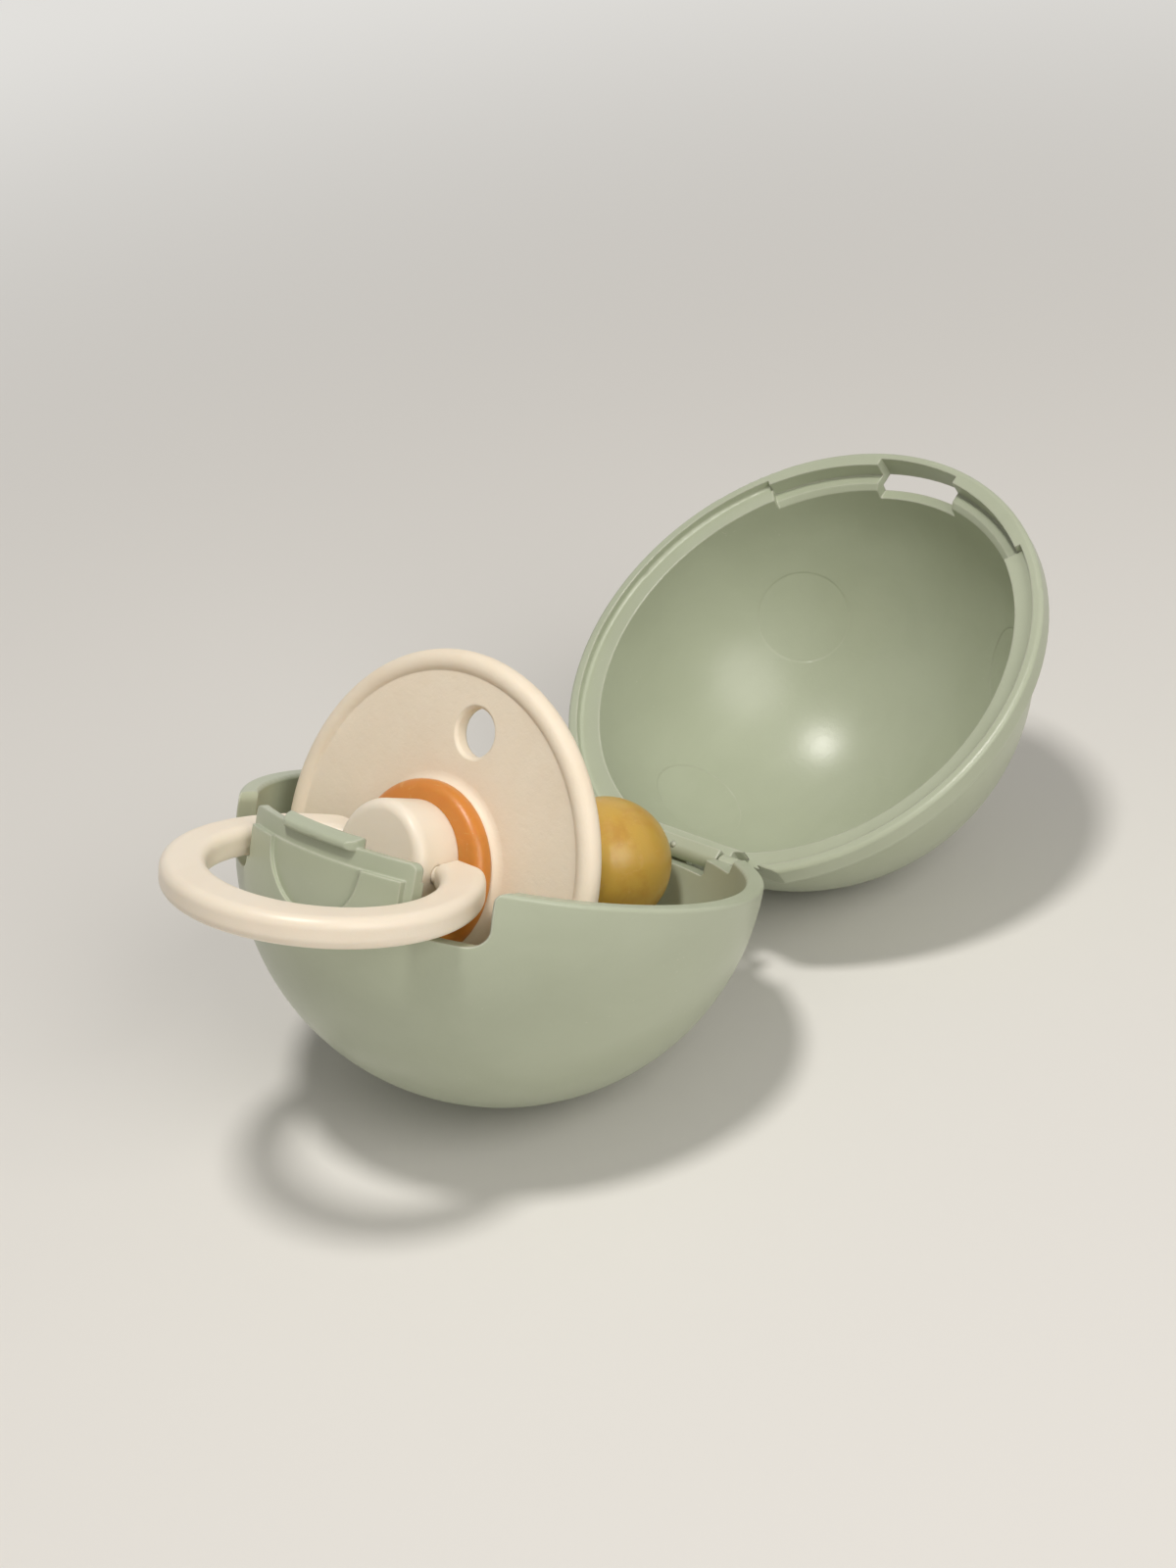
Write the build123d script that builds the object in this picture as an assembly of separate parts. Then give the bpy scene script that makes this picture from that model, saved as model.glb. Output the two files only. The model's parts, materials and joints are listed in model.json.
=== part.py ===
# Round two-part travel case for one pacifier, standing open with the pacifier in its bowl.
# The case is drawn closed and upright: X along the hinge, -Y to the latch, Z up, z = 0 at the bowl's rim.
# place_open() then swings the lid back and leans the whole case until both domes touch the floor.
from build123d import *
import os
from math import asin, atan2, cos, degrees, hypot, radians, sin, sqrt

# Clearances
LID_FIT = 0.3                # closed lid off the bowl: over the rim, round the rim, in front of the tongue
SIDE_FIT = 0.2               # closed lid off the bowl along the hinge, at the gap's ends and beside the hook
KNUCKLE_GAP = 0.3
PIN_FIT = 0.05               # running fit between the hinge pin and the lid's knuckle, on the radius
RING_PIN_FIT = 0.08          # running fit between the ring's pins and the knob, on the radius
SEAT_GAP = 0.3               # shield's bead off the bowl's wall
HEEL_GAP = 0.1               # left between the stop heel and the bowl at full opening

# Bowl
BOWL_OUTER = 29.0
BOWL_WALL = 2.0
BAND_HEIGHT = 0.8            # straight band between the half sphere and the rim
RIM_ROUND = 0.45
BASE_FLAT_RADIUS = 5.5
BOWL_INNER = BOWL_OUTER - BOWL_WALL
SPHERE_Z = -BAND_HEIGHT

# Front latch tongue and the gap on each side of it
GAP_HALF = 19.4
GAP_FLOOR_Z = -6.3
GAP_ROUND = 2.4              # at the bowl's wall
TONGUE_ROUND = 1.5           # at the tongue
GAP_TOP_ROUND = 1.2
GAP_TOP_Z = 0.15             # the rounding starts a little above the rim, so it meets the rim at an angle
TONGUE_HALF = 12.0
TONGUE_SIDE_STEP = 0.8       # width of the lower strip down each side of the tongue's face
SHELF_Z = -1.0
LIP_SETBACK = 0.7            # the tongue's lip stands back from the bowl's outer face
LIP_THICK = 1.0
LIP_TOP = 0.95
LIP_ROUND = 0.8
LIP_OUTER = BOWL_OUTER - LIP_SETBACK
LIP_INNER = LIP_OUTER - LIP_THICK
HOOK_HALF = 5.5
HOOK_REACH = 0.9             # past the lip's outer face
HOOK_LOW_Z = 0.6
HOOK_EDGE_Z = 1.4            # top of the hook's front edge, from which it slopes up to the back
HOOK_TOP = 2.2
HOOK_ROUND = 0.39
HOOK_CORNER = 2.2
HOOK_OUTER = LIP_OUTER + HOOK_REACH
SCOOP_RADIUS = 6.7
SCOOP_DEPTH = 0.5            # below the bowl's face, whose curve its floor keeps

# Hinge
HINGE_INSET = 0.3            # the pin's axis lies this far inside the bowl's outer radius
HINGE_Z = -2.25
KNUCKLE_RADIUS = 1.1
PIN_RADIUS = 0.55
PIN_SHORT = 0.2              # the pin ends this far inside each outer knuckle's end
LEAF_HALF = 8.0
KNUCKLE_LENGTH = 2.3
LOW_RIM_HALF = 13.6
LOW_RIM_Z = -1.7
LOW_RIM_SLOPE = 0.7          # how far the low rim's ends lean outward
NOTCH_ROUND = 0.5
GUSSET_LOW_Z = -6.5
HEEL_HALF = 3.0
HEEL_THICK = 1.0
HEEL_REACH = 2.5
HINGE_Y = BOWL_OUTER - HINGE_INSET
NOTCH_HALF = LEAF_HALF + KNUCKLE_GAP
NOTCH_FLOOR_Z = HINGE_Z - KNUCKLE_RADIUS - KNUCKLE_GAP
KNUCKLE_END = NOTCH_HALF + KNUCKLE_LENGTH

# Lid
DOME_INSET = 0.95            # the dome's outer radius is this much less than the bowl's
DOME_WALL = 1.25
LID_LIP_THICK = 1.3
LID_LIP_LOW = -0.8
LID_LIP_EDGE = 0.5
SEAT_ROUND = 0.4
SHOULDER_Z = 2.3
SHOULDER_ROUND = 1.0
BACK_INSET = 1.8             # the lid's flat back lies this far in front of the pin's axis
CHORD_WALL = 0.8             # the wall behind the flat back
CHORD_GAP = 0.4              # between that wall's lower edge and the bowl's low rim
FRONT_SEAT_WIDTH = 1.3       # front seat over the tongue's lip
FRONT_BEVEL = 0.8            # from the front seat's inner edge to past the dome's inside
SLOT_GAP = 0.35              # slot past the hook's front edge
SLOT_RISE = 1.0              # slot over the hook's top
MARK_RADIUS = 5.8            # faint round moulding marks inside the dome
MARK_DEPTH = 0.03
MARK_LEAN = 52.0
MARK_TURNS = (43.0, 130.0, -130.0, -43.0)
OPEN_ANGLE = 125.2
DOME_OUTER = BOWL_OUTER - DOME_INSET
DOME_INNER = DOME_OUTER - DOME_WALL
LID_LIP_INNER = BOWL_OUTER + LID_FIT
LID_LIP_OUTER = LID_LIP_INNER + LID_LIP_THICK
BACK_Y = HINGE_Y - BACK_INSET
CHORD_Y = BACK_Y - CHORD_WALL
FRONT_HALF = GAP_HALF - SIDE_FIT
CHORD_LOW_Z = LOW_RIM_Z + CHORD_GAP
FRONT_SEAT_Z = LIP_TOP + LID_FIT
FRONT_BAND_INNER = LIP_OUTER + LID_FIT
SLOT_HALF = HOOK_HALF + SIDE_FIT
SLOT_OUTER = HOOK_OUTER + SLOT_GAP
SLOT_TOP = HOOK_TOP + SLOT_RISE

# Pacifier: v runs along its own axis, toward the teat, with v = 0 in the shield's middle plane
PACIFIER_TILT = 3.0
SHIELD_SETBACK = 9.7         # from the bowl's centre to the shield's plane
SHIELD_RADIUS = 22.6
BEAD_RADIUS = 1.3
PLATE_HALF = 0.8
BOSS_RADIUS = 9.3
BOSS_FOOT = 10.0             # the boss's sloping side meets the plate at this radius
BOSS_FRONT = 1.5
BOSS_ROUND = 0.7
BOSS_FOOT_ROUND = 1.2
BOSS_DROP = 1.0              # the boss and the front flange hang this far below the pacifier's axis
VENT_RADIUS = 2.65
VENT_DISTANCE = 14.65
VENT_TURN = 8.5
VENT_BEVEL = 0.3
NECK_RADIUS = 5.0
FLANGE_RADIUS = 9.6
FLANGE_THICK = 2.1
FLANGE_ROUND = 1.2
REAR_FLANGE_RADIUS = 7.0
REAR_FLANGE_THICK = 1.0
REAR_FLANGE_ROUND = 0.4
TEAT_WALL = 1.5
BULB_RADIUS = 7.5
BULB_CENTRE = 28.0
NECK_BLEND = 2.0
KNOB_RADIUS = 6.4
KNOB_LENGTH = 5.8
KNOB_ROUND = 1.2
PLUG_LENGTH = 6.0
RING_PIN_RADIUS = 1.0
RING_PIN_V = -6.5
RING_PIN_REACH = 3.2         # how far each stub pin goes into the knob
BORE_END_GAP = 0.3
FLANGE_FRONT = BOSS_FRONT + FLANGE_THICK
KNOB_FRONT = FLANGE_FRONT + KNOB_LENGTH

# Ring
RING_DROOP = 9.3
RING_CENTRE = 10.35          # from the pins' axis to the ring's centre
RING_OUTER_X = 17.3
RING_OUTER_Y = 16.4
RING_INNER_X = 12.8
RING_INNER_Y = 11.2
RING_THICK = 3.4
RING_ROUND = 1.2
RING_BACK = 2.5              # flat back of the ring's ends, behind the pins' axis
RING_SIDE_GAP = 0.3          # between the knob and the ring's ends
RING_CORNER = 2.0
RING_END_X = KNOB_RADIUS + RING_SIDE_GAP

GRIP = 0.3                   # how far joined shapes of one piece run into each other
NEAR = 0.05                  # how close an edge or corner must lie to the place where it is looked for
FAR = 80.0                   # cutters and trimming blocks run this far past the part


def block(x_low, x_high, y_low, y_high, z_low, z_high):
    middle = ((x_low + x_high) / 2, (y_low + y_high) / 2, (z_low + z_high) / 2)
    return Pos(*middle) * Box(x_high - x_low, y_high - y_low, z_high - z_low)


def upright_ring(inner, outer, low, high, soft=0.0):
    middle = ((inner + outer) / 2, (low + high) / 2)
    if soft > 0:
        section = RectangleRounded(outer - inner, high - low, soft)
    else:
        section = Rectangle(outer - inner, high - low)
    return revolve(Plane.XZ * (Pos(*middle) * section), Axis.Z)


def rounded_outline(corners):
    # corners: (across, up, rounding), in order round the outline
    edges = []
    starts = []
    ends = []
    count = len(corners)
    for index in range(count):
        here = Vector(*corners[index][:2])
        before = Vector(*corners[index - 1][:2])
        after = Vector(*corners[(index + 1) % count][:2])
        rounding = corners[index][2]
        to_before = (before - here).normalized()
        to_after = (after - here).normalized()
        if rounding <= 0:
            starts.append(here)
            ends.append(here)
            continue
        half = radians(to_before.get_angle(to_after)) / 2
        setback = rounding / (sin(half) / cos(half))
        centre = here + (to_before + to_after).normalized() * (rounding / sin(half))
        first = here + to_before * setback
        last = here + to_after * setback
        middle = centre + (here - centre).normalized() * rounding
        starts.append(first)
        ends.append(last)
        edges.append(ThreePointArc(first, middle, last))
    for index in range(count):
        edges.append(Line(ends[index], starts[(index + 1) % count]))
    return make_face(edges)


def across_y(face, y_low, y_high):
    # a face drawn in X and Z, run along Y
    return extrude(Plane((0, y_low, 0), x_dir=(1, 0, 0), z_dir=(0, -1, 0)) * face, amount=y_low - y_high)


def across_x(face, x_low, x_high):
    # a face drawn in Y and Z, run along X
    return extrude(Plane((x_low, 0, 0), x_dir=(0, 1, 0), z_dir=(1, 0, 0)) * face, amount=x_high - x_low)


def rod_x(radius, x_low, x_high, y, z):
    return Pos((x_low + x_high) / 2, y, z) * Rot(0, 90, 0) * Cylinder(radius, x_high - x_low)


def front_part(solid, half, radius):
    # the part of a turned shape in front, between two upright planes through its axis, half apart at the radius
    slope = half / sqrt(radius ** 2 - half ** 2)
    plan = make_face(Polyline([(0, 0), (FAR * slope, -FAR), (-FAR * slope, -FAR)], close=True))
    return solid & Pos(0, 0, -FAR) * extrude(plan, amount=2 * FAR)


def both_sides(solid):
    return solid + mirror(solid, about=Plane.YZ)


def bowl_wall():
    ball = Pos(0, 0, SPHERE_Z) * (Sphere(BOWL_OUTER) - Sphere(BOWL_INNER))
    half = ball & block(-FAR, FAR, -FAR, FAR, -FAR, SPHERE_Z)
    band = upright_ring(BOWL_INNER, BOWL_OUTER, 2 * SPHERE_Z, 0, RIM_ROUND)
    band = band & block(-FAR, FAR, -FAR, FAR, SPHERE_Z, FAR)
    flat_z = SPHERE_Z - sqrt(BOWL_OUTER ** 2 - BASE_FLAT_RADIUS ** 2)
    return half + band - block(-FAR, FAR, -FAR, FAR, -FAR, flat_z)


def front_gap():
    # the gap beside the tongue, the tongue's shelf, the lower strip down its side and the thumb scoop
    side = rounded_outline([
        (TONGUE_HALF, FAR, 0),
        (TONGUE_HALF, GAP_FLOOR_Z, TONGUE_ROUND),
        (GAP_HALF, GAP_FLOOR_Z, GAP_ROUND),
        (GAP_HALF, GAP_TOP_Z, GAP_TOP_ROUND),
        (FAR, GAP_TOP_Z, 0),
        (FAR, FAR, 0),
    ])
    shelf = block(-TONGUE_HALF, TONGUE_HALF, -FAR, 0, SHELF_Z, FAR)
    strip = upright_ring(LIP_OUTER, FAR, GAP_FLOOR_Z + TONGUE_ROUND, FAR)
    strip = strip & block(TONGUE_HALF - TONGUE_SIDE_STEP, TONGUE_HALF + GRIP, -FAR, 0, -FAR, FAR)
    scoop = Pos(0, -FAR / 2, SHELF_Z) * Rot(90, 0, 0) * Cylinder(SCOOP_RADIUS, FAR)
    scoop = scoop - Pos(0, 0, SPHERE_Z) * Sphere(BOWL_OUTER - SCOOP_DEPTH)
    return both_sides(across_y(side, -FAR, 0) + strip) + shelf + scoop


def tongue_lip():
    shape = rounded_outline([
        (-TONGUE_HALF, 2 * SHELF_Z, 0),
        (TONGUE_HALF, 2 * SHELF_Z, 0),
        (TONGUE_HALF, LIP_TOP, LIP_ROUND),
        (-TONGUE_HALF, LIP_TOP, LIP_ROUND),
    ])
    return upright_ring(LIP_INNER, LIP_OUTER, 2 * SHELF_Z, LIP_TOP) & across_y(shape, -FAR, 0)


def tongue_hook():
    # the press hook: it slopes down to its front edge, and its front corners are rounded in plan
    section = rounded_outline([
        (LIP_INNER, 0, 0),
        (LIP_INNER, HOOK_TOP, HOOK_ROUND),
        (HOOK_OUTER, HOOK_EDGE_Z, HOOK_ROUND),
        (HOOK_OUTER, HOOK_LOW_Z, HOOK_ROUND),
        (LIP_OUTER - GRIP, HOOK_LOW_Z, 0),
        (LIP_OUTER - GRIP, 0, 0),
    ])
    plan = rounded_outline([
        (-HOOK_HALF, 0, 0),
        (HOOK_HALF, 0, 0),
        (HOOK_HALF, -HOOK_OUTER, HOOK_CORNER),
        (-HOOK_HALF, -HOOK_OUTER, HOOK_CORNER),
    ])
    return revolve(Plane.XZ * section, Axis.Z) & extrude(plan, amount=FAR)


def hinge_notch():
    # a deep middle part for the lid's leaf, and a shallow part on each side for the lid's back
    shape = rounded_outline([
        (-FAR, FAR, 0),
        (-LOW_RIM_HALF - LOW_RIM_SLOPE, 0, 0),
        (-LOW_RIM_HALF, LOW_RIM_Z, NOTCH_ROUND),
        (-NOTCH_HALF, LOW_RIM_Z, 0),
        (-NOTCH_HALF, NOTCH_FLOOR_Z, NOTCH_ROUND),
        (NOTCH_HALF, NOTCH_FLOOR_Z, NOTCH_ROUND),
        (NOTCH_HALF, LOW_RIM_Z, 0),
        (LOW_RIM_HALF, LOW_RIM_Z, NOTCH_ROUND),
        (LOW_RIM_HALF + LOW_RIM_SLOPE, 0, 0),
        (FAR, FAR, 0),
    ])
    return across_y(shape, 0, FAR)


def bowl_knuckles():
    low_side = KNUCKLE_RADIUS * sin(radians(45))
    grip_y = sqrt(((BOWL_INNER + BOWL_OUTER) / 2) ** 2 - KNUCKLE_END ** 2)
    web = make_face(Polyline([
        (grip_y, LOW_RIM_Z),
        (HINGE_Y, LOW_RIM_Z),
        (HINGE_Y + low_side, HINGE_Z - low_side),
        (grip_y, GUSSET_LOW_Z),
    ], close=True))
    knuckle = rod_x(KNUCKLE_RADIUS, NOTCH_HALF, KNUCKLE_END, HINGE_Y, HINGE_Z)
    return both_sides(knuckle + across_x(web, NOTCH_HALF, KNUCKLE_END))


def base_bowl():
    bore = rod_x(PIN_RADIUS, -FAR, FAR, HINGE_Y, HINGE_Z)
    return bowl_wall() - front_gap() + tongue_lip() + tongue_hook() - hinge_notch() + bowl_knuckles() - bore


def hinge_pin():
    pin_half = KNUCKLE_END - PIN_SHORT
    return rod_x(PIN_RADIUS, -pin_half, pin_half, HINGE_Y, HINGE_Z)


def lid_lip():
    # the turned lip with its shoulder and the flat seat over the bowl's rim
    grip = (DOME_INNER + DOME_OUTER) / 2
    section = rounded_outline([
        (LID_LIP_OUTER, LID_LIP_LOW, LID_LIP_EDGE),
        (LID_LIP_OUTER, SHOULDER_Z, SHOULDER_ROUND),
        (grip, SHOULDER_Z, 0),
        (grip, LID_FIT, 0),
        (LID_LIP_INNER, LID_FIT, SEAT_ROUND),
        (LID_LIP_INNER, LID_LIP_LOW, 0),
    ])
    return revolve(Plane.XZ * section, Axis.Z)


def lid_front():
    # a thicker lip in front of the tongue
    band = upright_ring(FRONT_BAND_INNER, LID_LIP_INNER + LID_LIP_THICK / 2, LID_LIP_LOW, LID_FIT + SEAT_ROUND)
    return front_part(band, FRONT_HALF, LID_LIP_INNER)


def lid_front_cuts():
    # the raised seat over the tongue's lip with its bevelled inner edge, and the hook's slot
    seat_inner = FRONT_BAND_INNER - FRONT_SEAT_WIDTH
    section = make_face(Polyline([
        (0, -FAR),
        (FRONT_BAND_INNER, -FAR),
        (FRONT_BAND_INNER, FRONT_SEAT_Z),
        (seat_inner, FRONT_SEAT_Z),
        (seat_inner - FRONT_BEVEL, FRONT_SEAT_Z + FRONT_BEVEL),
        (0, FRONT_SEAT_Z + FRONT_BEVEL),
    ], close=True))
    seat = revolve(Plane.XZ * section, Axis.Z)
    slot = upright_ring(0, SLOT_OUTER, -FAR, SLOT_TOP) & block(-SLOT_HALF, SLOT_HALF, -FAR, 0, -FAR, FAR)
    return front_part(seat, FRONT_HALF, LID_LIP_INNER) + slot


def lid_marks():
    # four very shallow round steps inside the dome
    deeper = Sphere(DOME_INNER + MARK_DEPTH) - Sphere(DOME_INNER)
    spot = Pos(0, 0, DOME_INNER) * Cylinder(MARK_RADIUS, DOME_INNER)
    marks = [Rot(0, 0, turn) * Rot(-MARK_LEAN, 0, 0) * spot for turn in MARK_TURNS]
    return Pos(0, 0, SPHERE_Z) * (deeper & (marks[0] + marks[1:]))


def lid_leaf():
    low_side = KNUCKLE_RADIUS * sin(radians(60))
    web = make_face(Polyline([
        (CHORD_Y, LID_FIT + GRIP),
        (CHORD_Y, CHORD_LOW_Z),
        (HINGE_Y - KNUCKLE_RADIUS, CHORD_LOW_Z),
        (HINGE_Y - KNUCKLE_RADIUS, HINGE_Z - KNUCKLE_RADIUS),
        (HINGE_Y, HINGE_Z - KNUCKLE_RADIUS),
        (HINGE_Y + low_side, HINGE_Z + KNUCKLE_RADIUS / 2),
        (BACK_Y, LID_FIT + GRIP),
    ], close=True))
    leaf = rod_x(KNUCKLE_RADIUS, -LEAF_HALF, LEAF_HALF, HINGE_Y, HINGE_Z) + across_x(web, -LEAF_HALF, LEAF_HALF)
    chord = block(-FAR, FAR, CHORD_Y, BACK_Y, CHORD_LOW_Z, FAR)
    return leaf + (chord & Pos(0, 0, SPHERE_Z) * Sphere(DOME_OUTER - GRIP))


def stop_heel():
    # drawn where it stands with the lid open, then turned back to the closed lid
    wall_y = sqrt(BOWL_OUTER ** 2 - (NOTCH_FLOOR_Z - SPHERE_Z) ** 2) - HINGE_Y
    heel = block(-HEEL_HALF, HEEL_HALF, wall_y + HEEL_GAP, wall_y + HEEL_GAP + HEEL_THICK, -HEEL_REACH, 0)
    return Pos(0, HINGE_Y, HINGE_Z) * Rot(OPEN_ANGLE, 0, 0) * heel


def lid_shell():
    dome = Pos(0, 0, SPHERE_Z) * (Sphere(DOME_OUTER) - Sphere(DOME_INNER))
    dome = dome & block(-FAR, FAR, -FAR, FAR, LID_FIT, FAR)
    shell = dome + lid_lip() + lid_front() - lid_front_cuts() - lid_marks()
    shell = shell & block(-FAR, FAR, -FAR, BACK_Y, -FAR, FAR)
    shell = shell + lid_leaf() + stop_heel()
    return shell - rod_x(PIN_RADIUS + PIN_FIT, -FAR, FAR, HINGE_Y, HINGE_Z)


def turned(section):
    # a section drawn with radius across and v up, turned about the pacifier's axis
    return Rot(-90, 0, 0) * revolve(Plane.XZ * section, Axis.Z)


def disc(radius, v_low, v_high, soft_low=0.0, soft_high=0.0):
    return turned(rounded_outline([
        (0, v_low, 0),
        (radius, v_low, soft_low),
        (radius, v_high, soft_high),
        (0, v_high, 0),
    ]))


def shield():
    bead_centre = SHIELD_RADIUS - BEAD_RADIUS
    bead = turned(Pos(bead_centre, 0) * Circle(BEAD_RADIUS))
    plate = disc(bead_centre, -PLATE_HALF, PLATE_HALF)
    boss = turned(rounded_outline([
        (0, -BOSS_FRONT, 0),
        (BOSS_RADIUS, -BOSS_FRONT, BOSS_ROUND),
        (BOSS_FOOT, -PLATE_HALF, BOSS_FOOT_ROUND),
        (BOSS_FOOT + BOSS_FOOT_ROUND, -PLATE_HALF, 0),
        (BOSS_FOOT + BOSS_FOOT_ROUND, 0, 0),
        (0, 0, 0),
    ]))
    bevel = turned(make_face(Polyline([
        (0, -PLATE_HALF - VENT_BEVEL),
        (VENT_RADIUS + 2 * VENT_BEVEL, -PLATE_HALF - VENT_BEVEL),
        (VENT_RADIUS, VENT_BEVEL - PLATE_HALF),
        (0, VENT_BEVEL - PLATE_HALF),
    ], close=True)))
    vent = disc(VENT_RADIUS, -FAR, FAR) + bevel
    solid = bead + plate + Pos(0, 0, -BOSS_DROP) * boss - disc(NECK_RADIUS, -FAR, FAR)
    for turn in (VENT_TURN, VENT_TURN + 180):
        solid = solid - Rot(0, turn, 0) * Pos(0, 0, VENT_DISTANCE) * vent
    return solid


def latex_teat():
    flange = disc(FLANGE_RADIUS, -FLANGE_FRONT, -BOSS_FRONT, soft_low=FLANGE_ROUND)
    flange = Pos(0, 0, -BOSS_DROP) * flange
    rear_v = PLATE_HALF + REAR_FLANGE_THICK
    rear = disc(REAR_FLANGE_RADIUS, PLATE_HALF, rear_v, soft_high=REAR_FLANGE_ROUND)
    neck = disc(NECK_RADIUS, -FLANGE_FRONT, BULB_CENTRE)
    bulb = Pos(0, BULB_CENTRE, 0) * Sphere(BULB_RADIUS)
    hollow = disc(NECK_RADIUS - TEAT_WALL, -FAR, BULB_CENTRE)
    hollow = hollow + Pos(0, BULB_CENTRE, 0) * Sphere(BULB_RADIUS - TEAT_WALL)
    return flange + rear + soft_neck(neck + bulb) - hollow


def soft_neck(solid):
    # softens the ring where the neck runs into the bulb
    joint = [edge for edge in solid.edges() if edge.geom_type == GeomType.CIRCLE]
    joint = [edge for edge in joint if abs(edge.radius - NECK_RADIUS) < NEAR]
    inner = max(joint, key=lambda edge: edge.center().Y)
    return fillet([inner], NECK_BLEND)


def knob_plug():
    knob = disc(KNOB_RADIUS, -KNOB_FRONT, -FLANGE_FRONT, soft_low=KNOB_ROUND)
    plug = disc(NECK_RADIUS - TEAT_WALL, -FLANGE_FRONT - GRIP, PLUG_LENGTH - FLANGE_FRONT)
    bore_start = RING_END_X - RING_PIN_REACH - BORE_END_GAP
    bore = rod_x(RING_PIN_RADIUS + RING_PIN_FIT, bore_start, FAR, RING_PIN_V, 0)
    return knob + plug - both_sides(bore)


def ring_handle():
    # drawn flat with the pins' axis at y = 0, front to -Y
    outer = Pos(0, -RING_CENTRE) * Ellipse(RING_OUTER_X, RING_OUTER_Y)
    inner = Pos(0, -RING_CENTRE) * Ellipse(RING_INNER_X, RING_INNER_Y)
    back = Pos(0, RING_BACK + FAR / 2) * Rectangle(2 * FAR, FAR)
    mouth = Rectangle(2 * RING_END_X, 2 * RING_CENTRE)
    flat = outer - inner - back - mouth
    corners = [corner for corner in flat.vertices() if abs(corner.Y - RING_BACK) < NEAR]
    corners = [corner for corner in corners if abs(corner.X) > RING_END_X + NEAR]
    flat = fillet(corners, RING_CORNER)
    band = Pos(0, 0, -RING_THICK / 2) * extrude(flat, amount=RING_THICK)
    outline = [edge for edge in band.edges() if abs(abs(edge.center().Z) - RING_THICK / 2) < NEAR]
    band = fillet(outline, RING_ROUND)
    pin = rod_x(RING_PIN_RADIUS, RING_END_X - RING_PIN_REACH, RING_END_X + RING_CORNER, 0, 0)
    return band + both_sides(pin)


def place_pacifier(solid):
    # seats the shield's bead SEAT_GAP off the bowl's wall
    reach = BOWL_INNER - SEAT_GAP - BEAD_RADIUS
    drop = sqrt(reach ** 2 - SHIELD_SETBACK ** 2) - (SHIELD_RADIUS - BEAD_RADIUS)
    tilt = radians(PACIFIER_TILT)
    centre_y = -SHIELD_SETBACK * cos(tilt) - drop * sin(tilt)
    centre_z = SPHERE_Z + SHIELD_SETBACK * sin(tilt) - drop * cos(tilt)
    return Pos(0, centre_y, centre_z) * Rot(-PACIFIER_TILT, 0, 0) * solid


def place_ring(solid):
    droop = RING_DROOP + PACIFIER_TILT
    return place_pacifier(Pos(0, RING_PIN_V, 0) * Rot(droop, 0, 0) * solid)


def lean_angle():
    # the lean at which the open lid's dome touches the same floor as the bowl
    turn = radians(OPEN_ANGLE)
    across = -HINGE_Y
    up = SPHERE_Z - HINGE_Z
    step_y = HINGE_Y + across * cos(turn) + up * sin(turn)
    step_z = HINGE_Z - across * sin(turn) + up * cos(turn) - SPHERE_Z
    return degrees(atan2(step_z, step_y) - asin((DOME_OUTER - BOWL_OUTER) / hypot(step_y, step_z)))


def open_lid(solid):
    return Pos(0, HINGE_Y, HINGE_Z) * Rot(-OPEN_ANGLE, 0, 0) * Pos(0, -HINGE_Y, -HINGE_Z) * solid


def place_open(nodes):
    lean = Rot(-lean_angle(), 0, 0)
    leaned = {name: lean * solid for name, solid in nodes.items()}
    box = Compound(list(leaned.values())).bounding_box()
    shift = Pos(-(box.min.X + box.max.X) / 2, -(box.min.Y + box.max.Y) / 2, -box.min.Z)
    return {name: shift * solid for name, solid in leaned.items()}


def main():
    nodes = {
        "base_bowl": base_bowl(),
        "lid_shell": open_lid(lid_shell()),
        "hinge_pin": hinge_pin(),
        "shield": place_pacifier(shield()),
        "latex_teat": place_pacifier(latex_teat()),
        "knob_plug": place_pacifier(knob_plug()),
        "ring_handle": place_ring(ring_handle()),
    }
    os.makedirs("parts", exist_ok=True)
    for name, solid in place_open(nodes).items():
        export_step(solid, f"parts/{name}.step")


main()
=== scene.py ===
import bmesh
import bpy
import json
import math
from mathutils import Euler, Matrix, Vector, noise


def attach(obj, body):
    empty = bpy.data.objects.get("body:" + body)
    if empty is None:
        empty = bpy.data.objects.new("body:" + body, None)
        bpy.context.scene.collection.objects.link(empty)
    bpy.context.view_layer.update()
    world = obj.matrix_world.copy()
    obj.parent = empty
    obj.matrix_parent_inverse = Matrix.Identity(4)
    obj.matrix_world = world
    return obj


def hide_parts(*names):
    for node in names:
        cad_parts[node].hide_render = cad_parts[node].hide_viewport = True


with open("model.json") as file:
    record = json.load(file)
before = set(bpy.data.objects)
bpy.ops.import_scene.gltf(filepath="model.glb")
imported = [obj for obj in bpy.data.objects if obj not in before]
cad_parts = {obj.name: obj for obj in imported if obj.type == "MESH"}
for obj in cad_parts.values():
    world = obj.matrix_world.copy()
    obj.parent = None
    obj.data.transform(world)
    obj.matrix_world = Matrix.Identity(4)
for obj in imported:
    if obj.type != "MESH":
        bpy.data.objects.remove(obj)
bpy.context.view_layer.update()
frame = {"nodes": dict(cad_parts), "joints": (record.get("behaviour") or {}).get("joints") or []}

joints = {joint["name"]: joint for joint in frame["joints"]}
hingePoint = Vector(joints["lid_hinge"]["pos_m"])
scene = bpy.context.scene
scene.view_settings.view_transform = "Standard"
print("frame loaded:", ", ".join(sorted(frame["nodes"])))


# small helpers for the node trees
def newTree(name):
    tree = bpy.data.node_groups.new(name, "ShaderNodeTree")
    return tree, tree.nodes.new("NodeGroupInput"), tree.nodes.new("NodeGroupOutput")


def addSocket(tree, name, kind, inOut, value=None):
    socket = tree.interface.new_socket(name=name, in_out=inOut, socket_type="NodeSocket" + kind)
    if value is not None:
        socket.default_value = value


def plug(tree, value, socket):
    # a socket is linked, a plain number or colour is set
    if hasattr(value, "is_output"):
        tree.links.new(value, socket)
    else:
        socket.default_value = value


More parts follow.
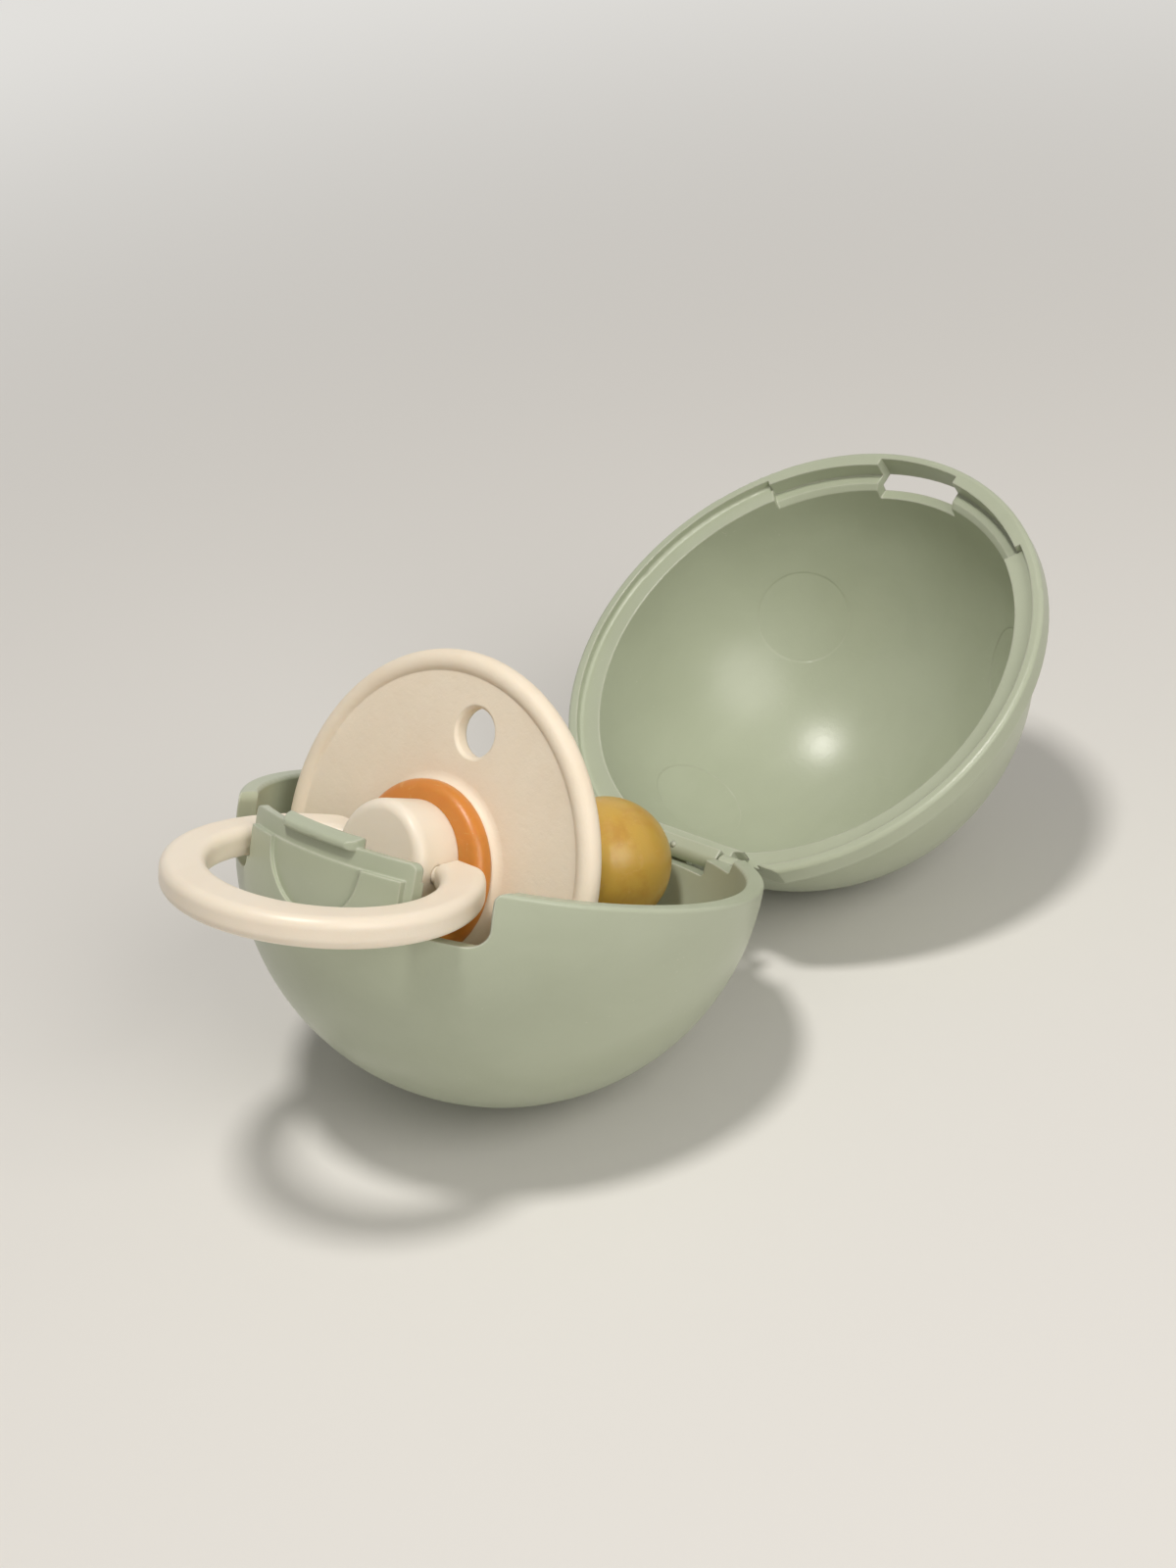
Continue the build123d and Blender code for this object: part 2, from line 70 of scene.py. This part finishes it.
def mathNode(tree, operation, first, second=None, clamp=False):
    node = tree.nodes.new("ShaderNodeMath")
    node.operation = operation
    node.use_clamp = clamp
    plug(tree, first, node.inputs[0])
    if second is not None:
        plug(tree, second, node.inputs[1])
    return node.outputs[0]


def noiseNode(tree, vector, scale, detail=3.0, roughness=0.5, distortion=0.0):
    node = tree.nodes.new("ShaderNodeTexNoise")
    plug(tree, scale, node.inputs["Scale"])
    node.inputs["Detail"].default_value = detail
    node.inputs["Roughness"].default_value = roughness
    node.inputs["Distortion"].default_value = distortion
    tree.links.new(vector, node.inputs["Vector"])
    return node.outputs["Fac"]


def rangeNode(tree, value, low, high, toLow=0.0, toHigh=1.0):
    node = tree.nodes.new("ShaderNodeMapRange")
    node.interpolation_type = "SMOOTHSTEP"
    inputs = {"Value": value, "From Min": low, "From Max": high, "To Min": toLow, "To Max": toHigh}
    for name, number in inputs.items():
        plug(tree, number, node.inputs[name])
    return node.outputs["Result"]


def mixColour(tree, amount, first, second):
    node = tree.nodes.new("ShaderNodeMix")
    node.data_type = "RGBA"
    plug(tree, amount, node.inputs["Factor"])
    plug(tree, first, node.inputs["A"])
    plug(tree, second, node.inputs["B"])
    return node.outputs["Result"]


def objectPlace(tree):
    return tree.nodes.new("ShaderNodeTexCoord").outputs["Object"]


def stretchedPlace(tree, place, scale, turn=(0, 0, 0)):
    node = tree.nodes.new("ShaderNodeMapping")
    node.inputs["Rotation"].default_value = turn
    node.inputs["Scale"].default_value = scale
    tree.links.new(place, node.inputs["Vector"])
    return node.outputs["Vector"]


def srgb(red, green, blue):
    # eight-bit display values as a linear colour with full alpha
    linear = []
    for value in (red / 255, green / 255, blue / 255):
        linear.append(value / 12.92 if value < 0.04045 else ((value + 0.055) / 1.055) ** 2.4)
    return (*linear, 1.0)


# colour that drifts slowly over the moulding, with streaks where the melt flowed
driftShape = {
    "patchNoise": {"detail": 2.0},
    "patchShare": 0.65,
    "streakStretch": (1.0, 0.35, 1.0),
    "streakNoise": {"detail": 4.0, "roughness": 0.6, "distortion": 0.4},
    "streakShare": 0.35,
    "spread": (0.35, 0.65),
}


def colourDriftGroup(shape):
    tree, start, end = newTree("colourDrift")
    addSocket(tree, "Colour", "Color", "INPUT", (0.5, 0.5, 0.5, 1))
    addSocket(tree, "Deep Colour", "Color", "INPUT", (0.4, 0.4, 0.4, 1))
    addSocket(tree, "Patch Scale", "Float", "INPUT", 45.0)
    addSocket(tree, "Streak Scale", "Float", "INPUT", 160.0)
    addSocket(tree, "Amount", "Float", "INPUT", 0.5)
    addSocket(tree, "Colour", "Color", "OUTPUT")
    place = objectPlace(tree)
    patches = noiseNode(tree, place, start.outputs["Patch Scale"], **shape["patchNoise"])
    along = stretchedPlace(tree, place, shape["streakStretch"])
    streaks = noiseNode(tree, along, start.outputs["Streak Scale"], **shape["streakNoise"])
    patchPart = mathNode(tree, "MULTIPLY", patches, shape["patchShare"])
    streakPart = mathNode(tree, "MULTIPLY", streaks, shape["streakShare"])
    mask = rangeNode(tree, mathNode(tree, "ADD", patchPart, streakPart), *shape["spread"])
    amount = mathNode(tree, "MULTIPLY", mask, start.outputs["Amount"])
    colour = mixColour(tree, amount, start.outputs["Colour"], start.outputs["Deep Colour"])
    tree.links.new(colour, end.inputs["Colour"])
    return tree


# edges: a normal that rounds them, and a mask of where they are for a painted highlight along them,
# broken up by noise
edgeShape = {
    "samples": 6,
    "gain": 6.0,
    "breakNoise": {"detail": 3.0, "roughness": 0.6},
    "breakRange": (0.25, 0.6, 0.45, 1.0),
}


def edgeRoundingAndHighlightGroup(shape):
    tree, start, end = newTree("edgeRoundingAndHighlight")
    addSocket(tree, "Width", "Float", "INPUT", 0.0003)
    addSocket(tree, "Strength", "Float", "INPUT", 0.5)
    addSocket(tree, "Break Scale", "Float", "INPUT", 400.0)
    addSocket(tree, "Mask", "Float", "OUTPUT")
    addSocket(tree, "Normal", "Vector", "OUTPUT")
    soft = tree.nodes.new("ShaderNodeBevel")
    soft.samples = shape["samples"]
    tree.links.new(start.outputs["Width"], soft.inputs["Radius"])
    flat = tree.nodes.new("ShaderNodeNewGeometry")
    turn = tree.nodes.new("ShaderNodeVectorMath")
    turn.operation = "DOT_PRODUCT"
    tree.links.new(soft.outputs["Normal"], turn.inputs[0])
    tree.links.new(flat.outputs["Normal"], turn.inputs[1])
    bend = mathNode(tree, "SUBTRACT", 1.0, turn.outputs["Value"])
    edge = mathNode(tree, "MULTIPLY", bend, shape["gain"], clamp=True)
    broken = noiseNode(tree, objectPlace(tree), start.outputs["Break Scale"], **shape["breakNoise"])
    # painted highlight: the edge mask, broken up by noise, marks where the edges are lightened
    brokenHighlight = mathNode(tree, "MULTIPLY", edge, rangeNode(tree, broken, *shape["breakRange"]))
    mask = mathNode(tree, "MULTIPLY", brokenHighlight, start.outputs["Strength"], clamp=True)
    tree.links.new(mask, end.inputs["Mask"])
    tree.links.new(soft.outputs["Normal"], end.inputs["Normal"])
    return tree


# the mould's fine spark grain with shallow pits in it
grainShape = {
    "grainNoise": {"detail": 2.0, "roughness": 0.6},
    "pitNoise": {"detail": 3.0, "roughness": 0.55},
    "pitRange": (0.3, 0.6),
}


def mouldGrainGroup(shape):
    tree, start, end = newTree("mouldGrain")
    addSocket(tree, "Grain Scale", "Float", "INPUT", 5200.0)
    addSocket(tree, "Pit Scale", "Float", "INPUT", 1500.0)
    addSocket(tree, "Pit Share", "Float", "INPUT", 0.4)
    addSocket(tree, "Height", "Float", "OUTPUT")
    place = objectPlace(tree)
    grain = noiseNode(tree, place, start.outputs["Grain Scale"], **shape["grainNoise"])
    hollows = noiseNode(tree, place, start.outputs["Pit Scale"], **shape["pitNoise"])
    pits = rangeNode(tree, hollows, *shape["pitRange"])
    grainShare = mathNode(tree, "SUBTRACT", 1.0, start.outputs["Pit Share"])
    grainPart = mathNode(tree, "MULTIPLY", grain, grainShare)
    pitPart = mathNode(tree, "MULTIPLY", pits, start.outputs["Pit Share"])
    tree.links.new(mathNode(tree, "ADD", grainPart, pitPart), end.inputs["Height"])
    return tree


# handling: hair scuffs and dull patches in the gloss, and sparse specks of dust
handlingShape = {
    "hairStretch": (1.0, 14.0, 3.0),
    "hairTurn": (0.5, 0.3, 0.7),
    "hairNoise": {"detail": 3.0, "roughness": 0.6, "distortion": 0.2},
    "hairRange": (0.66, 0.74),
    "hairShare": 0.6,
    "patchScale": 70.0,
    "patchNoise": {"detail": 4.0, "roughness": 0.6},
    "patchMiddle": 0.5,
    "speckScale": 2600.0,
    "speckNoise": {"detail": 2.0, "roughness": 0.4},
    "speckRange": (0.70, 0.76),
    "thinScale": 120.0,
    "thinNoise": {"detail": 2.0},
    "thinRange": (0.5, 0.7),
}


def handlingGroup(shape):
    tree, start, end = newTree("handling")
    addSocket(tree, "Roughness", "Float", "INPUT", 0.4)
    addSocket(tree, "Spread", "Float", "INPUT", 0.1)
    addSocket(tree, "Scuff Scale", "Float", "INPUT", 90.0)
    addSocket(tree, "Dust", "Float", "INPUT", 0.3)
    addSocket(tree, "Roughness", "Float", "OUTPUT")
    addSocket(tree, "Dust", "Float", "OUTPUT")
    place = objectPlace(tree)
    spread = start.outputs["Spread"]
    across = stretchedPlace(tree, place, shape["hairStretch"], shape["hairTurn"])
    hairs = noiseNode(tree, across, start.outputs["Scuff Scale"], **shape["hairNoise"])
    scuffs = rangeNode(tree, hairs, *shape["hairRange"])
    patches = noiseNode(tree, place, shape["patchScale"], **shape["patchNoise"])
    dull = mathNode(tree, "MULTIPLY", mathNode(tree, "SUBTRACT", patches, shape["patchMiddle"]), spread)
    marked = mathNode(tree, "MULTIPLY", scuffs, mathNode(tree, "MULTIPLY", spread, shape["hairShare"]))
    uneven = mathNode(tree, "ADD", start.outputs["Roughness"], dull)
    tree.links.new(mathNode(tree, "ADD", uneven, marked, clamp=True), end.inputs["Roughness"])
    grit = noiseNode(tree, place, shape["speckScale"], **shape["speckNoise"])
    specks = rangeNode(tree, grit, *shape["speckRange"])
    cover = noiseNode(tree, place, shape["thinScale"], **shape["thinNoise"])
    thin = rangeNode(tree, cover, *shape["thinRange"])
    fallen = mathNode(tree, "MULTIPLY", specks, thin)
    tree.links.new(mathNode(tree, "MULTIPLY", fallen, start.outputs["Dust"]), end.inputs["Dust"])
    return tree


colourDrift = colourDriftGroup(driftShape)
edgeRoundingAndHighlight = edgeRoundingAndHighlightGroup(edgeShape)
mouldGrain = mouldGrainGroup(grainShape)
handling = handlingGroup(handlingShape)
print("node groups built")


def useGroup(tree, group, values):
    node = tree.nodes.new("ShaderNodeGroup")
    node.node_tree = group
    for name, value in values.items():
        plug(tree, value, node.inputs[name])
    return node


def finishMaterial(material, look, colour):
    # the last part of every finish: rounded edges with a painted highlight, gloss, dust and grain over
    # the colour that comes in
    tree = material.node_tree
    shader = tree.nodes["Principled BSDF"]
    edges = useGroup(tree, edgeRoundingAndHighlight, look["edges"])
    touch = useGroup(tree, handling, look["handling"])
    grain = useGroup(tree, mouldGrain, look["grain"])
    # painted highlight: a lighter colour laid along the edges over the surface colour
    edgeHighlighted = mixColour(tree, edges.outputs["Mask"], colour, look["paintedEdgeHighlightColour"])
    dusty = mixColour(tree, touch.outputs["Dust"], edgeHighlighted, look["dustColour"])
    tree.links.new(dusty, shader.inputs["Base Color"])
    tree.links.new(touch.outputs["Roughness"], shader.inputs["Roughness"])
    bump = tree.nodes.new("ShaderNodeBump")
    bump.inputs["Strength"].default_value = look["bump"]
    bump.inputs["Distance"].default_value = look["bumpDepth"]
    tree.links.new(grain.outputs["Height"], bump.inputs["Height"])
    tree.links.new(edges.outputs["Normal"], bump.inputs["Normal"])
    tree.links.new(bump.outputs["Normal"], shader.inputs["Normal"])
    shader.inputs["IOR"].default_value = look["ior"]
    shader.inputs["Subsurface Weight"].default_value = look["scatter"]
    shader.inputs["Subsurface Radius"].default_value = look["scatterRadius"]
    shader.inputs["Subsurface Scale"].default_value = look["scatterScale"]
    return material


def startMaterial(name):
    material = bpy.data.materials.new(name)
    material.use_nodes = True
    return material


def mouldedMaterial(name, look):
    material = startMaterial(name)
    drift = useGroup(material.node_tree, colourDrift, look["drift"])
    return finishMaterial(material, look, drift.outputs["Colour"])


def coverNode(name, material):
    mesh = frame["nodes"][name].data
    mesh.materials.clear()
    mesh.materials.append(material)


# bowl, lid and pin: dusty sage plastic with a satin, finely sparked face
caseLook = {
    "drift": {
        "Colour": srgb(182, 189, 166),
        "Deep Colour": srgb(171, 178, 154),
        "Patch Scale": 38.0,
        "Streak Scale": 150.0,
        "Amount": 0.6,
    },
    "edges": {"Width": 0.00035, "Strength": 0.75, "Break Scale": 350.0},
    "handling": {"Roughness": 0.31, "Spread": 0.12, "Scuff Scale": 80.0, "Dust": 0.35},
    "grain": {"Grain Scale": 4800.0, "Pit Scale": 1500.0, "Pit Share": 0.4},
    # painted highlight colour for the edges
    "paintedEdgeHighlightColour": srgb(211, 212, 194),
    "dustColour": srgb(214, 212, 200),
    "bump": 0.24,
    "bumpDepth": 0.00004,
    "ior": 1.49,
    "scatter": 0.06,
    "scatterRadius": (0.9, 1.0, 0.7),
    "scatterScale": 0.0012,
}
caseGreen = mouldedMaterial("caseGreen", caseLook)
for name in ("base_bowl", "lid_shell", "hinge_pin"):
    coverNode(name, caseGreen)

# the shield: powdery matt cream
shieldLook = {
    "drift": {
        "Colour": srgb(243, 230, 209),
        "Deep Colour": srgb(236, 220, 196),
        "Patch Scale": 55.0,
        "Streak Scale": 260.0,
        "Amount": 0.6,
    },
    "edges": {"Width": 0.0003, "Strength": 0.5, "Break Scale": 500.0},
    "handling": {"Roughness": 0.52, "Spread": 0.12, "Scuff Scale": 120.0, "Dust": 0.25},
    "grain": {"Grain Scale": 3600.0, "Pit Scale": 1300.0, "Pit Share": 0.5},
    # painted highlight colour for the edges
    "paintedEdgeHighlightColour": srgb(248, 238, 222),
    "dustColour": srgb(246, 238, 224),
    "bump": 0.38,
    "bumpDepth": 0.00005,
    "ior": 1.49,
    "scatter": 0.12,
    "scatterRadius": (1.0, 0.75, 0.5),
    "scatterScale": 0.0016,
}
coverNode("shield", mouldedMaterial("shieldCream", shieldLook))

# ring and knob: the same cream, smoother and a little paler
ringLook = {
    "drift": {
        "Colour": srgb(242, 231, 213),
        "Deep Colour": srgb(234, 220, 199),
        "Patch Scale": 60.0,
        "Streak Scale": 220.0,
        "Amount": 0.5,
    },
    "edges": {"Width": 0.0003, "Strength": 0.4, "Break Scale": 450.0},
    "handling": {"Roughness": 0.36, "Spread": 0.16, "Scuff Scale": 110.0, "Dust": 0.2},
    "grain": {"Grain Scale": 4600.0, "Pit Scale": 1700.0, "Pit Share": 0.4},
    # painted highlight colour for the edges
    "paintedEdgeHighlightColour": srgb(249, 241, 227),
    "dustColour": srgb(248, 242, 230),
    "bump": 0.2,
    "bumpDepth": 0.00004,
    "ior": 1.49,
    "scatter": 0.16,
    "scatterRadius": (1.0, 0.75, 0.5),
    "scatterScale": 0.0018,
}
ringCream = mouldedMaterial("ringCream", ringLook)
for name in ("knob_plug", "ring_handle"):
    coverNode(name, ringCream)
print("plastic finishes on the frame's pieces")

# the rubber teat, modelled again with its soft edges
# y runs along it from the shield's middle; every length in the dictionary is in millimetres
teat = {
    "centre": (0.0, -0.0285255, 0.0317295),
    "tiltDegrees": -28.5745,
    "flangeRadius": 9.6,
    "flangeDrop": 1.0,
    "flangeFront": -3.6,
    "flangeBack": -1.5,
    "flangeRound": 1.15,
    "flangeRoundSteps": 7,
    "flangeFrontRings": (4.4, 5.6, 6.8, 7.8),
    "flangeBackRings": (8.4, 7.0, 5.6),
    "flangeBackEdge": 0.15,
    "dropMargin": 1.6,
    "neckRadius": 5.0,
    "neckRings": (-0.8, 0.0),
    "neckSpans": 9,
    "rearRadius": 7.0,
    "rearFront": 0.8,
    "rearFrontRings": (6.0, 6.9),
    "rearFrontEdge": 0.2,
    "rearBack": 1.8,
    "rearRound": 0.35,
    "rearRoundSteps": 4,
    "rearBackRing": 6.0,
    "rearFoot": ((0.1, 0.25), (0.4, 0.0)),
    "bulbRadius": 7.5,
    "bulbCentre": 28.0,
    "bulbSteps": 26,
    "wall": 1.5,
    "blend": 2.4,
    "blendSteps": 6,
    "insideTurn": 140,
    "insideSteps": 20,
    "insideRings": (20.0, 12.0, 4.0),
    "around": 96,
    "waviness": 0.05,
    "wavinessScale": 0.16,
}
perMetre = 1000
onAxis = 0.001


def arcPoints(centre, radius, fromDegrees, toDegrees, count):
    points = []
    for step in range(count + 1):
        angle = math.radians(fromDegrees + (toDegrees - fromDegrees) * step / count)
        points.append((centre[0] + radius * math.cos(angle), centre[1] + radius * math.sin(angle)))
    return points


def teatProfile():
    # pairs of (along, out): the outside from the plug's hole to the tip, then the inside back again
    front = teat["flangeFront"]
    back = teat["flangeBack"]
    rim = teat["flangeRadius"]
    soft = teat["flangeRound"]
    edge = teat["flangeBackEdge"]
    neck = teat["neckRadius"]
    bore = neck - teat["wall"]
    outside = [(front, out) for out in (bore, *teat["flangeFrontRings"])]
    outside += arcPoints((front + soft, rim - soft), soft, 180, 90, teat["flangeRoundSteps"])
    outside += [(back - edge, rim), (back, rim - edge)]
    outside += [(back, out) for out in (*teat["flangeBackRings"], neck)]
    outside += [(along, neck) for along in teat["neckRings"]]

    front = teat["rearFront"]
    back = teat["rearBack"]
    rim = teat["rearRadius"]
    soft = teat["rearRound"]
    outside += [(front, out) for out in (neck, *teat["rearFrontRings"])]
    outside += [(front + teat["rearFrontEdge"], rim)]
    outside += arcPoints((back - soft, rim - soft), soft, 90, 0, teat["rearRoundSteps"])
    outside += [(back, teat["rearBackRing"])]
    outside += [(back + along, neck + out) for along, out in teat["rearFoot"]]

    radius = teat["bulbRadius"]
    centre = teat["bulbCentre"]
    blend = teat["blend"]
    start = back + teat["rearFoot"][-1][0]
    meet = centre - math.sqrt((radius + blend) ** 2 - (neck + blend) ** 2)
    lean = math.degrees(math.atan2(neck + blend, meet - centre))
    spans = teat["neckSpans"]
    outside += [(start + (meet - start) * step / spans, neck) for step in range(1, spans)]
    outside += arcPoints((meet, neck + blend), blend, 270, 180 + lean, teat["blendSteps"])
    outside += arcPoints((centre, 0.0), radius, lean, 0, teat["bulbSteps"])[1:]
    inside = arcPoints((centre, 0.0), radius - teat["wall"], 0, teat["insideTurn"], teat["insideSteps"])
    inside += [(along, bore) for along in teat["insideRings"]]
    return outside, inside


def flangeFall(along, out):
    # how far the front flange hangs below the axis, easing in from the neck
    if along > teat["flangeBack"]:
        return 0.0
    span = teat["flangeRadius"] - teat["dropMargin"] - teat["neckRadius"]
    share = min(1.0, max(0.0, (out - teat["neckRadius"]) / span))
    return teat["flangeDrop"] * share * share * (3 - 2 * share)


def joinRings(body, first, second):
    # a ring of one point closes its neighbour with triangles
    for step in range(teat["around"]):
        after = (step + 1) % teat["around"]
        corners = [first[step % len(first)], first[after % len(first)]]
        corners += [second[after % len(second)], second[step % len(second)]]
        kept = list(dict.fromkeys(corners))
        if len(kept) > 2:
            body.faces.new(kept)


def buildPiece(name, body):
    mesh = bpy.data.meshes.new(name)
    bmesh.ops.recalc_face_normals(body, faces=body.faces)
    body.to_mesh(mesh)
    body.free()
    for face in mesh.polygons:
        face.use_smooth = True
    piece = bpy.data.objects.new(name, mesh)
    scene.collection.objects.link(piece)
    return piece


def buildTeat():
    body = bmesh.new()
    outside, inside = teatProfile()
    rings = []
    for index, (along, out) in enumerate(outside + inside):
        if out < onAxis:
            rings.append([body.verts.new((0, along / perMetre, 0))])
            continue
        drop = flangeFall(along, out)
        ring = []
        for step in range(teat["around"]):
            angle = 2 * math.pi * step / teat["around"]
            point = Vector((out * math.sin(angle), along, out * math.cos(angle) - drop))
            if index < len(outside) and along > teat["rearBack"]:
                # the dipped rubber is never quite true
                push = noise.noise(point * teat["wavinessScale"]) * teat["waviness"]
                point += Vector((point.x, 0, point.z)).normalized() * push
            ring.append(body.verts.new(point / perMetre))
        rings.append(ring)
    for first, second in zip(rings, rings[1:] + rings[:1]):
        joinRings(body, first, second)
    piece = buildPiece("teatRubber", body)
    piece.location = teat["centre"]
    piece.rotation_euler = (math.radians(teat["tiltDegrees"]), 0, 0)
    finer = piece.modifiers.new("soften", "SUBSURF")
    finer.levels = 1
    finer.render_levels = 1
    return piece


# natural rubber: amber at the flange, paler and cloudier along the bulb
latexLook = {
    "flangeColour": srgb(208, 132, 50),
    "bulbColour": srgb(202, 164, 72),
    "deepColour": srgb(178, 122, 42),
    "milkColour": srgb(214, 176, 104),
    "turnStart": -0.002,
    "turnEnd": 0.016,
    "cloudScale": 210.0,
    "cloudNoise": {"detail": 4.0, "roughness": 0.6, "distortion": 0.6},
    "cloudRange": (0.42, 0.72, 0.0, 0.45),
    "threadScale": 520.0,
    "threadNoise": {"detail": 5.0, "roughness": 0.65, "distortion": 1.2},
    "threadRange": (0.56, 0.72, 0.0, 0.4),
    "edges": {"Width": 0.0004, "Strength": 0.25, "Break Scale": 300.0},
    "handling": {"Roughness": 0.34, "Spread": 0.18, "Scuff Scale": 60.0, "Dust": 0.35},
    "grain": {"Grain Scale": 2600.0, "Pit Scale": 700.0, "Pit Share": 0.6},
    # painted highlight colour for the edges
    "paintedEdgeHighlightColour": srgb(220, 150, 70),
    "dustColour": srgb(226, 204, 160),
    "bump": 0.3,
    "bumpDepth": 0.00007,
    "ior": 1.52,
    "scatter": 0.35,
    "scatterRadius": (1.0, 0.5, 0.15),
    "scatterScale": 0.003,
}


def latexMaterial(name, look):
    material = startMaterial(name)
    tree = material.node_tree
    place = objectPlace(tree)
    split = tree.nodes.new("ShaderNodeSeparateXYZ")
    tree.links.new(place, split.inputs["Vector"])
    along = rangeNode(tree, split.outputs["Y"], look["turnStart"], look["turnEnd"])
    base = mixColour(tree, along, look["flangeColour"], look["bulbColour"])
    clouds = noiseNode(tree, place, look["cloudScale"], **look["cloudNoise"])
    cloudy = mixColour(tree, rangeNode(tree, clouds, *look["cloudRange"]), base, look["deepColour"])
    threads = noiseNode(tree, place, look["threadScale"], **look["threadNoise"])
    milky = mixColour(tree, rangeNode(tree, threads, *look["threadRange"]), cloudy, look["milkColour"])
    return finishMaterial(material, look, milky)


latexRubber = latexMaterial("latexRubber", latexLook)
teatRubber = buildTeat()
teatRubber.data.materials.append(latexRubber)
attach(teatRubber, "pacifier")
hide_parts("latex_teat")
print("rubber teat built")

# the mould's gate mark on the open lid's hinge leaf, in metres
gatePip = {
    "radius": 0.00042,
    "height": 0.00013,
    "fromHinge": (0.00153, -0.00064, 0.00088),
    "around": 20,
    "rings": 5,
}


def buildGatePip():
    body = bmesh.new()
    top = body.verts.new((0, 0, gatePip["height"]))
    before = None
    for ring in range(1, gatePip["rings"] + 1):
        slope = math.pi / 2 * ring / gatePip["rings"]
        out = gatePip["radius"] * math.sin(slope)
        up = gatePip["height"] * math.cos(slope)
        circle = []
        for step in range(gatePip["around"]):
            angle = 2 * math.pi * step / gatePip["around"]
            circle.append(body.verts.new((out * math.cos(angle), out * math.sin(angle), up)))
        for step in range(gatePip["around"]):
            after = (step + 1) % gatePip["around"]
            if before is None:
                body.faces.new((top, circle[step], circle[after]))
            else:
                body.faces.new((before[step], circle[step], circle[after], before[after]))
        before = circle
    body.faces.new(list(reversed(before)))
    piece = buildPiece("gatePip", body)
    offset = Vector(gatePip["fromHinge"])
    piece.location = hingePoint + offset
    outward = Vector((0, offset.y, offset.z))
    piece.rotation_euler = outward.to_track_quat("Z", "X").to_euler()
    return piece


pip = buildGatePip()
pip.data.materials.append(caseGreen)
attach(pip, "lid")
print("gate mark built")

# pale paper floor, one broad lamp from the side and a small one above
studio = {
    "floorColour": (0.80, 0.785, 0.755, 1),
    "floorRoughness": 0.85,
    "floorSize": 3.0,
    "farColour": (0.76, 0.745, 0.715, 1),
    "farStart": 0.12,
    "farEnd": 0.5,
    "worldColour": (1.0, 0.975, 0.94, 1),
    "worldStrength": 0.22,
    "aim": (0.0, 0.0, 0.025),
    "lamps": {
        "sideKey": {"power": 2.7, "size": 0.55, "place": (0.64, -0.12, 0.48)},
        "topLamp": {"power": 1.9, "size": 0.10, "place": (0.033, -0.116, 0.62)},
    },
    "lampColour": (1.0, 0.965, 0.92),
}


def seenRays(tree):
    # rays on which the backdrop shows as plain pale paper, whatever the lamps give it
    path = tree.nodes.new("ShaderNodeLightPath").outputs
    some = mathNode(tree, "MAXIMUM", path["Is Camera Ray"], path["Is Glossy Ray"])
    return mathNode(tree, "MAXIMUM", some, path["Is Transmission Ray"])


def mixShaders(tree, share, first, second, target):
    blend = tree.nodes.new("ShaderNodeMixShader")
    tree.links.new(share, blend.inputs["Fac"])
    tree.links.new(first.outputs[0], blend.inputs[1])
    tree.links.new(second.outputs[0], blend.inputs[2])
    tree.links.new(blend.outputs["Shader"], target.inputs["Surface"])


def addFloor():
    half = studio["floorSize"] / 2
    corners = [(-half, -half, 0), (half, -half, 0), (half, half, 0), (-half, half, 0)]
    mesh = bpy.data.meshes.new("floorSheet")
    mesh.from_pydata(corners, [], [(0, 1, 2, 3)])
    floor = bpy.data.objects.new("floorSheet", mesh)
    scene.collection.objects.link(floor)
    material = startMaterial("palePaper")
    tree = material.node_tree
    shader = tree.nodes["Principled BSDF"]
    shader.inputs["Base Color"].default_value = studio["floorColour"]
    shader.inputs["Roughness"].default_value = studio["floorRoughness"]
    # far from the object the paper fades into the backdrop's own tone
    distance = tree.nodes.new("ShaderNodeVectorMath")
    distance.operation = "LENGTH"
    tree.links.new(objectPlace(tree), distance.inputs[0])
    far = rangeNode(tree, distance.outputs["Value"], studio["farStart"], studio["farEnd"])
    glow = tree.nodes.new("ShaderNodeEmission")
    glow.inputs["Color"].default_value = studio["farColour"]
    share = mathNode(tree, "MULTIPLY", far, seenRays(tree))
    mixShaders(tree, share, shader, glow, tree.nodes["Material Output"])
    mesh.materials.append(material)


def addLamp(name, values):
    lamp = bpy.data.lights.new(name, "AREA")
    lamp.shape = "DISK"
    lamp.energy = values["power"]
    lamp.size = values["size"]
    lamp.color = studio["lampColour"]
    holder = bpy.data.objects.new(name, lamp)
    holder.location = values["place"]
    ray = Vector(studio["aim"]) - Vector(values["place"])
    holder.rotation_euler = ray.to_track_quat("-Z", "Y").to_euler()
    scene.collection.objects.link(holder)


def addRoom():
    world = bpy.data.worlds.new("softRoom")
    world.use_nodes = True
    tree = world.node_tree
    room = tree.nodes["Background"]
    room.inputs["Color"].default_value = studio["worldColour"]
    room.inputs["Strength"].default_value = studio["worldStrength"]
    paper = tree.nodes.new("ShaderNodeBackground")
    paper.inputs["Color"].default_value = studio["farColour"]
    mixShaders(tree, seenRays(tree), room, paper, tree.nodes["World Output"])
    scene.world = world


addFloor()
for name, values in studio["lamps"].items():
    addLamp(name, values)
addRoom()
print("studio set")

view = {
    "fromHinge": (0.222585, -0.221898, 0.186187),
    "turn": (60.3944, 7.1346, 42.5443),
    "lens": 72.15,
    "sensor": 36,
    "clipStart": 0.01,
}
lensData = bpy.data.cameras.new("viewCamera")
lensData.sensor_fit = "VERTICAL"
lensData.sensor_height = view["sensor"]
lensData.lens = view["lens"]
lensData.clip_start = view["clipStart"]
camera = bpy.data.objects.new("viewCamera", lensData)
camera.location = hingePoint + Vector(view["fromHinge"])
camera.rotation_euler = Euler([math.radians(angle) for angle in view["turn"]], "XYZ")
scene.collection.objects.link(camera)
scene.camera = camera
print("camera set")
